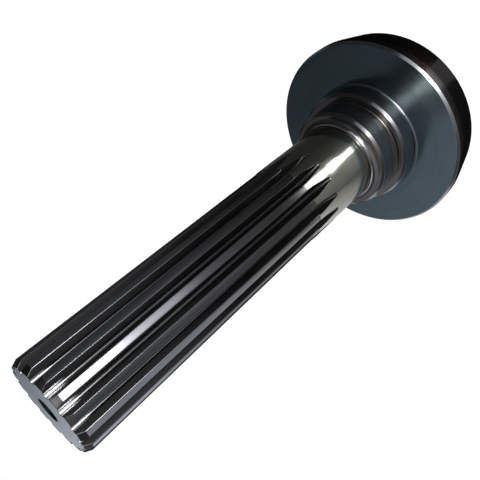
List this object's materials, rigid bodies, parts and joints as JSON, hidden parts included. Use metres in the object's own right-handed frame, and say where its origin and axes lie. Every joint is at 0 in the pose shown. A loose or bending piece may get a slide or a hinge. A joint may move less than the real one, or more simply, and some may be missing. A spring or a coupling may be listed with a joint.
{
  "type": "splined shaft",
  "caption": "One-piece splined drive shaft: long involute splines with a tapped end, a plain journal, a stepped bearing seat and a thick round head.",
  "frame": {"origin": "centre of the head's flat back face, on which the shaft stands", "axes": "+Z along the shaft's axis, from the head to the splined tip; one spline tooth faces +X and one faces -Y"},
  "size_m": [0.09, 0.09, 0.196],
  "materials": {
    "steel": "turned and ground hardened steel, dark, lightly oiled and glossy"
  },
  "bodies": {
    "root": {"splined_shaft": "steel"}
  },
  "joints": []
}
